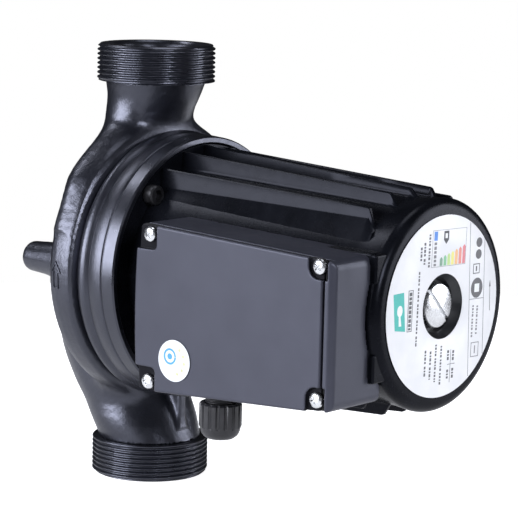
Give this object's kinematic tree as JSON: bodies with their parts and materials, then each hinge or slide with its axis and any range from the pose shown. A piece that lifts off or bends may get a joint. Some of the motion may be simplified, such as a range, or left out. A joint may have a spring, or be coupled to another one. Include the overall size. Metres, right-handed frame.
{
  "type": "circulator pump",
  "caption": "Inline wet-rotor circulator pump: cast casing with threaded ports above and below, finned motor, side terminal box with a cable gland, and a vent plug.",
  "frame": {"origin": "middle of the line between the two port faces, where the motor axis crosses it", "axes": "+Z along the flow, from the inlet up to the outlet; +X along the motor axis towards the rating plate; the terminal box faces -Y"},
  "size_m": [0.2401, 0.1453, 0.22],
  "materials": {
    "casting_paint": "black paint over rough casting",
    "motor_paint": "satin black powder coat",
    "box_paint": "satin dark grey coat",
    "bright_chrome": "polished",
    "stainless_steel": "brushed",
    "blackened_steel": "black oxide",
    "lamination_steel": "stacked sheet",
    "winding_wire": "varnished copper wire",
    "brass": "machined",
    "seal_rubber": "matte",
    "carbon_bearing": "lapped",
    "impeller_plastic": "moulded",
    "gland_plastic": "moulded",
    "block_plastic": "moulded",
    "capacitor_case": "moulded",
    "plate_white": "white printed plate",
    "sticker_white": "white film",
    "lead_jacket": "insulation"
  },
  "bodies": {
    "pump_body": {"pump_housing": "casting_paint", "neck_ring": "brass", "front_bearing": "carbon_bearing", "rear_bearing": "carbon_bearing", "bearing_plate": "stainless_steel", "rotor_can": "stainless_steel", "can_oring": "seal_rubber", "housing_oring": "seal_rubber", "stator_core": "lamination_steel", "winding_front": "winding_wire", "winding_rear": "winding_wire", "motor_housing": "motor_paint", "flange_bolt_1": "blackened_steel", "flange_bolt_2": "blackened_steel", "flange_bolt_3": "blackened_steel", "flange_bolt_4": "blackened_steel", "rating_plate": "plate_white", "terminal_box": "box_paint", "terminal_cover": "box_paint", "cover_gasket": "seal_rubber", "cover_screw_1": "bright_chrome", "cover_screw_2": "bright_chrome", "cover_screw_3": "bright_chrome", "cover_screw_4": "bright_chrome", "cover_sticker": "sticker_white", "terminal_block": "block_plastic", "terminal_screw_1": "brass", "terminal_screw_2": "brass", "terminal_screw_3": "brass", "terminal_screw_4": "brass", "capacitor": "capacitor_case", "capacitor_clip": "stainless_steel", "earth_screw": "brass", "box_screw_1": "bright_chrome", "box_screw_2": "bright_chrome", "box_screw_3": "bright_chrome", "box_screw_4": "bright_chrome", "lead_grommet": "seal_rubber", "motor_lead_1": "lead_jacket", "motor_lead_2": "lead_jacket", "motor_lead_3": "lead_jacket", "gland_body": "gland_plastic", "gland_locknut": "gland_plastic", "gland_seal": "seal_rubber"},
    "rotor": {"shaft": "stainless_steel", "impeller": "impeller_plastic", "impeller_clip": "blackened_steel", "thrust_ring": "carbon_bearing", "rotor_core": "lamination_steel", "rotor_sleeve": "stainless_steel"},
    "vent_carrier": {"vent_oring": "seal_rubber"},
    "vent_screw": {"vent_plug": "bright_chrome"},
    "gland_carrier": {"gland_slip_ring": "block_plastic"},
    "gland_cap": {"gland_nut": "gland_plastic"}
  },
  "joints": [
    {"name": "rotor_spin", "type": "hinge", "parent": "pump_body", "child": "rotor", "pos_m": [0, 0, 0], "axis": [1, 0, 0], "continuous": true},
    {"name": "vent_plug_travel", "type": "slide", "parent": "pump_body", "child": "vent_carrier", "axis": [1, 0, 0], "range_m": [0, 0.00525]},
    {"name": "vent_plug_turn", "type": "hinge", "parent": "vent_carrier", "child": "vent_screw", "pos_m": [0.18, 0, 0], "axis": [1, 0, 0], "range_deg": [0, 1260]},
    {"name": "gland_nut_travel", "type": "slide", "parent": "pump_body", "child": "gland_carrier", "axis": [0, 0, -1], "range_m": [0, 0.00225]},
    {"name": "gland_nut_turn", "type": "hinge", "parent": "gland_carrier", "child": "gland_cap", "pos_m": [0.099, -0.058, -0.05], "axis": [0, 0, -1], "range_deg": [0, 540]}
  ],
  "couplings": [
    {"joint": "vent_plug_travel", "follows": "vent_plug_turn", "m_per_rad": 0.00023873},
    {"joint": "gland_nut_travel", "follows": "gland_nut_turn", "m_per_rad": 0.00023873}
  ]
}
